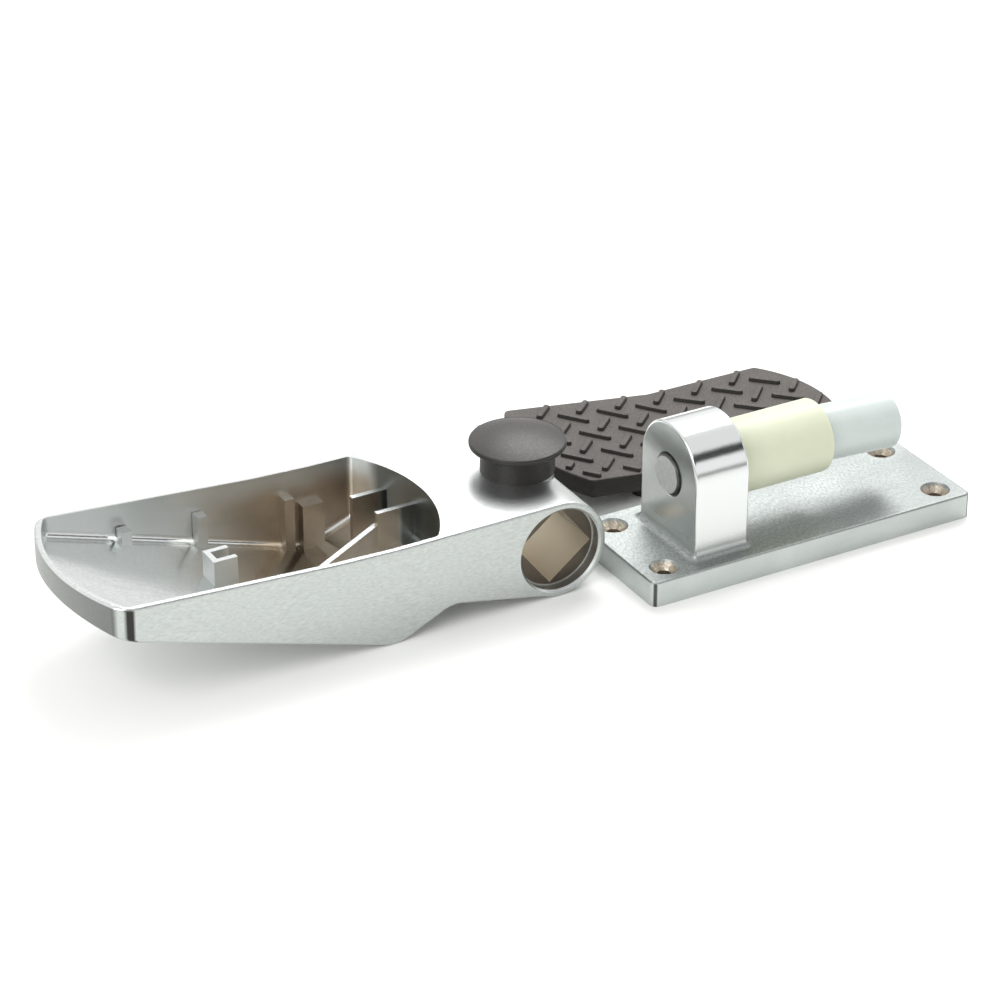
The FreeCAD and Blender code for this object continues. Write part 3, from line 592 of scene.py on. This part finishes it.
def quarter(centre_r, centre_z, radius, start, end, steps=5):
    """Points (r, z) of an arc between two angles in degrees, 0 outwards and 90 up."""
    points = []
    for step in range(steps + 1):
        angle = math.radians(start + (end - start) * step / steps)
        points.append((centre_r + radius * math.cos(angle), centre_z + radius * math.sin(angle)))
    return points


# ---------------------------------------------------------------- operators

class TREADLE_OT_base(bpy.types.Operator):
    """Base casting, its plate linished and its boss polished"""
    bl_idname = "treadle.base_casting"
    bl_label = "Base casting"

    def execute(self, context):
        dress_node("base_casting", linished_chrome())
        return {"FINISHED"}


class TREADLE_OT_pin(bpy.types.Operator):
    """Peened pivot pin"""
    bl_idname = "treadle.pivot_pin"
    bl_label = "Pivot pin"

    def execute(self, context):
        dress_node("pivot_pin", turned_steel())
        return {"FINISHED"}


class TREADLE_OT_bearings(bpy.types.Operator):
    """Nylon bush and acetal sleeve on the pin"""
    bl_idname = "treadle.bearings"
    bl_label = "Bush and sleeve"

    def execute(self, context):
        dress_node("nylon_bush", natural_nylon())
        dress_node("acetal_sleeve", white_acetal())
        return {"FINISHED"}


class TREADLE_OT_pedal(bpy.types.Operator):
    """Hollow pedal casting"""
    bl_idname = "treadle.pedal_casting"
    bl_label = "Pedal casting"

    def execute(self, context):
        dress_node("pedal_casting", polished_chrome())
        return {"FINISHED"}


class TREADLE_OT_bumper(bpy.types.Operator):
    """Rubber mushroom bumper, turned from its outline"""
    bl_idname = "treadle.rubber_bumper"
    bl_label = "Rubber bumper"

    def execute(self, context):
        made = context.scene.treadle.bumper
        low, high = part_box("rubber_bumper")
        middle = (low + high) / 2
        head = (high.x - low.x) / 2
        under = low.z + made.stem_height
        rim = under + made.head_edge
        dome = high.z - rim
        ball = (head * head + dome * dome) / (2 * dome)
        lip = made.head_edge * 0.45
        fillet = 1.4 * MM
        skirt = 2.5 * MM
        lip_turn = 62
        cap_edge = 88.5
        outline = [(made.cavity_radius, low.z + made.cavity_depth), (made.cavity_radius, low.z),
                   (made.stem_radius, low.z), (made.stem_radius, low.z + skirt)]
        outline += quarter(made.stem_radius + fillet, under - fillet, fillet, 180, 90)
        outline += quarter(head - lip, under + lip, lip, -90, 0)
        outline += quarter(head - lip, rim - lip * 0.6, lip, 0, lip_turn)
        dome_edge = math.degrees(math.acos((head - lip * 0.5) / ball))
        outline += quarter(0, high.z - ball, ball, dome_edge, cap_edge, 14)
        bpy.ops.object.select_all(action="DESELECT")
        bpy.ops.mesh.primitive_circle_add(vertices=96, radius=made.cavity_radius,
                                          location=(middle.x, middle.y, outline[0][1]), fill_type="NOTHING")
        piece = context.active_object
        piece.name = piece.data.name = "bumper_mushroom"
        apply_place(piece)
        edit(piece)
        bpy.ops.mesh.select_all(action="SELECT")
        ring_up(piece, (middle.x, middle.y, low.z), outline)
        bpy.ops.mesh.edge_face_add()
        bpy.ops.mesh.inset(thickness=0.1 * MM)
        bpy.ops.mesh.merge(type="CENTER")
        choose(piece, "edges", lambda edge: edge.is_boundary)
        bpy.ops.mesh.edge_face_add()
        bpy.ops.mesh.select_all(action="SELECT")
        bpy.ops.mesh.normals_make_consistent(inside=False)
        leave()
        alone(piece)
        bpy.ops.object.shade_smooth_by_angle(angle=math.radians(40))
        dress(piece, bumper_rubber())
        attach(piece, "bumper")
        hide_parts("rubber_bumper")
        return {"FINISHED"}


def bar_shape(tread):
    """One raised bar about the origin, its foot at Z = 0: round-ended and narrower at its top."""
    root = 0.3                  # how much of its height is sunk in the pad, so that no gap shows
    end_round = 0.42            # of the width
    top_long, top_wide = 0.94, 0.74
    top_round = 0.35 * MM
    bpy.ops.object.select_all(action="DESELECT")
    bpy.ops.mesh.primitive_cube_add(size=1.0)
    bar = bpy.context.active_object
    bar.name = "bar"
    bar.dimensions = (tread.bar_long, tread.bar_wide, tread.bar_high * (1 + root))
    bpy.context.view_layer.update()
    bar.location.z = tread.bar_high * (1 - root) / 2
    apply_place(bar)
    edit(bar)
    choose(bar, "edges", lambda edge: abs(edge.verts[0].co.z - edge.verts[1].co.z) > 0.1 * MM)
    bpy.ops.mesh.bevel(offset=tread.bar_wide * end_round, segments=3, affect="EDGES")
    choose(bar, "verts", lambda vert: vert.co.z > 0.5 * MM)
    bpy.ops.transform.resize(value=(top_long, top_wide, 1))
    choose(bar, "edges", lambda edge: all(vert.co.z > 0.5 * MM for vert in edge.verts))
    bpy.ops.mesh.bevel(offset=top_round, segments=2, affect="EDGES")
    leave()
    return bar


def pad_top(pad, high, x, y):
    """Height of the pad's top at a place, or None past its edge or on its rounding."""
    hit, point, normal, index = pad.ray_cast(Vector((x, y, high.z + 10 * MM)), Vector((0, 0, -1)))
    return point.z if hit and normal.z > 0.9 else None


def lay_bar(bar, pad, high, tread, x, y, turn):
    """A copy of the bar on the pad at a place, cut short at the plain border, or None if too little
    of it is left."""
    steps = 24
    shortest = 0.3
    along = Vector((math.cos(turn), math.sin(turn)))
    step = tread.bar_long / 2 / steps

    def clear(x, y):
        edge = tread.border
        around = ((x + edge, y), (x, y + edge), (x - edge, y), (x, y - edge))
        return all(pad_top(pad, high, *place) is not None for place in around)

    reach = [t for t in range(-steps, steps + 1) if clear(x + along.x * t * step, y + along.y * t * step)]
    if not reach or (reach[-1] - reach[0]) / (2 * steps) < shortest:
        return None
    share = (reach[-1] - reach[0]) / (2 * steps)
    middle = (reach[0] + reach[-1]) / 2 * step
    x, y = x + along.x * middle, y + along.y * middle
    level = pad_top(pad, high, x, y)
    mesh = bar.data.copy()
    mesh.transform(Matrix.Translation((x, y, 0)) @ Matrix.Rotation(turn, 4, "Z")
                   @ Matrix.Diagonal((share, 1, 1, 1)))
    for vert in mesh.vertices:
        ground = pad_top(pad, high, vert.co.x, vert.co.y)
        vert.co.z += level if ground is None else ground
    copy = bpy.data.objects.new("bar_copy", mesh)
    bpy.context.scene.collection.objects.link(copy)
    return copy


def tread_bars(pad, tread):
    """The pad's diamond bars, which lean to one side and the other in turn, as one piece."""
    low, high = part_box("tread_pad")
    first_column, first_row = -0.35, 0.3        # in half pitches
    bar = bar_shape(tread)
    bpy.context.view_layer.update()
    bars = []
    columns = 2 * (int((high.x - low.x) / tread.pitch_x) + 2)
    rows = 2 * (int((high.y - low.y) / tread.pitch_y) + 2)
    for column in range(columns):
        turn = math.radians(-45 if column % 2 == 0 else 45)
        for row in range(column % 2, rows, 2):
            x = low.x + (column + first_column) * tread.pitch_x / 2
            y = low.y + (row + first_row) * tread.pitch_y / 2
            copy = lay_bar(bar, pad, high, tread, x, y, turn)
            if copy:
                bars.append(copy)
    bpy.data.objects.remove(bar)
    alone(bars[0])
    for copy in bars:
        copy.select_set(True)
    bpy.ops.object.join()
    bars[0].name = bars[0].data.name = "tread_bars"
    alone(bars[0])
    bpy.ops.object.shade_smooth_by_angle(angle=math.radians(35))
    return bars[0]


class TREADLE_OT_pad(bpy.types.Operator):
    """Moulded tread pad with its raised diamond bars"""
    bl_idname = "treadle.tread_pad"
    bl_label = "Tread pad"

    def execute(self, context):
        tread = context.scene.treadle.tread
        piece = skin_of("tread_pad", "tread_pad_moulding")
        edit(piece)
        choose(piece, "faces", lambda face: face.normal.z > 0.7)
        bpy.ops.transform.translate(value=(0, 0, -tread.bar_high))
        leave()
        soften_edges(piece, tread.edge, 40, 3)
        bars = tread_bars(piece, tread)
        rubber = tread_rubber()
        for part in (piece, bars):
            dress(part, rubber)
            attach(part, "pad")
        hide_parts("tread_pad")
        return {"FINISHED"}


def area_light(name, place, target, size, power):
    """Soft rectangular light at a place, turned to face a target."""
    data = bpy.data.lights.new(name, "AREA")
    data.shape = "RECTANGLE"
    data.size, data.size_y = size
    data.energy = power
    lamp = bpy.data.objects.new(name, data)
    bpy.context.scene.collection.objects.link(lamp)
    lamp.location = place
    lamp.rotation_euler = (target - lamp.location).to_track_quat("-Z", "Y").to_euler()


# brightness of the white tent against height, from straight down to straight up: its front has a
# dark gap above the horizon
TENT_FRONT = ((0.0, 0.28), (0.08, 0.5), (0.14, 1.25), (0.44, 1.25), (0.5, 0.05), (0.66, 0.05), (0.72, 1.15),
              (1.0, 0.9))
TENT_BACK = ((0.0, 0.35), (0.1, 0.8), (0.25, 1.3), (0.7, 1.3), (1.0, 0.9))


def studio_world():
    world = bpy.data.worlds.new("white_tent")
    world.use_nodes = True
    world.node_tree.nodes.clear()
    add = partial(add_node, world.node_tree)
    way = add("TexCoord").node.outputs["Generated"]
    pointing = add("SeparateXYZ", (way,)).node.outputs
    front, back = [add("ValToRGB", (pointing["Z"],), stops=stops) for stops in (TENT_FRONT, TENT_BACK)]
    at_front = add("MapRange", (pointing["Y"], -0.45, -0.1, 1, 0), **SMOOTH)
    tent = add("Mix", (at_front, back, front), **COLOURS)
    add("OutputWorld", {"Surface": add("Background", {"Color": tent, "Strength": 0.9})})
    return world


class TREADLE_OT_stage(bpy.types.Operator):
    """Pale floor, white tent, soft lights and the camera"""
    bl_idname = "treadle.stage"
    bl_label = "Stage"

    def execute(self, context):
        made = context.scene.treadle.camera
        floor_gap = 0.05 * MM
        low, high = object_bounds()
        middle = (low + high) / 2
        bpy.ops.object.select_all(action="DESELECT")
        bpy.ops.mesh.primitive_plane_add(size=8.0, location=(middle.x, middle.y, 0))
        floor = context.active_object
        floor.name = "floor"
        floor.location.z = -floor_gap
        apply_place(floor)
        floor.data.materials.append(matte_floor())
        floor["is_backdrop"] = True
        context.scene.world = studio_world()
        area_light("key", middle + Vector((0.5, 0.55, 0.95)), middle, (0.7, 0.7), 9.0)
        area_light("fill", middle + Vector((-0.9, -0.5, 0.8)), middle, (0.8, 0.8), 6.0)
        camera = bpy.data.objects.new("camera", bpy.data.cameras.new("camera"))
        context.scene.collection.objects.link(camera)
        camera.data.sensor_width = 36.0
        camera.data.lens = made.lens
        camera.data.clip_start, camera.data.clip_end = 0.01, 50.0
        back = Vector((math.sin(made.azimuth) * math.cos(made.elevation),
                       -math.cos(made.azimuth) * math.cos(made.elevation), math.sin(made.elevation)))
        camera.location = middle + Vector(made.framing) + back * made.distance
        camera.rotation_euler = (-back).to_track_quat("-Z", "Y").to_euler()
        context.scene.camera = camera
        context.scene.view_settings.view_transform = "Standard"
        return {"FINISHED"}


class TREADLE_PT_panel(bpy.types.Panel):
    bl_idname = "TREADLE_PT_panel"
    bl_label = "Foot treadle kit"
    bl_space_type = "VIEW_3D"
    bl_region_type = "UI"
    bl_category = "Treadle"

    def draw(self, context):
        made = context.scene.treadle
        for operator in OPERATORS:
            self.layout.operator(operator.bl_idname)
        for group in (made.tread, made.bumper, made.casting, made.colours, made.camera):
            box = self.layout.box()
            for name in group.bl_rna.properties.keys():
                if name not in ("rna_type", "name"):
                    box.prop(group, name)


GROUPS = (TreadSizes, BumperSizes, CastingSizes, FinishColours, CameraSettings, TreadleSettings)
OPERATORS = (TREADLE_OT_base, TREADLE_OT_pin, TREADLE_OT_bearings, TREADLE_OT_pedal, TREADLE_OT_bumper,
             TREADLE_OT_pad, TREADLE_OT_stage)


def register():
    for item in GROUPS + OPERATORS + (TREADLE_PT_panel,):
        bpy.utils.register_class(item)
    bpy.types.Scene.treadle = bpy.props.PointerProperty(type=TreadleSettings)


def unregister():
    del bpy.types.Scene.treadle
    for item in reversed(GROUPS + OPERATORS + (TREADLE_PT_panel,)):
        bpy.utils.unregister_class(item)


def main():
    register()
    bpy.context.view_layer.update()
    bpy.ops.treadle.base_casting()
    bpy.ops.treadle.pivot_pin()
    bpy.ops.treadle.bearings()
    bpy.ops.treadle.pedal_casting()
    bpy.ops.treadle.rubber_bumper()
    bpy.ops.treadle.tread_pad()
    bpy.ops.treadle.stage()


if __name__ == "__main__":
    main()
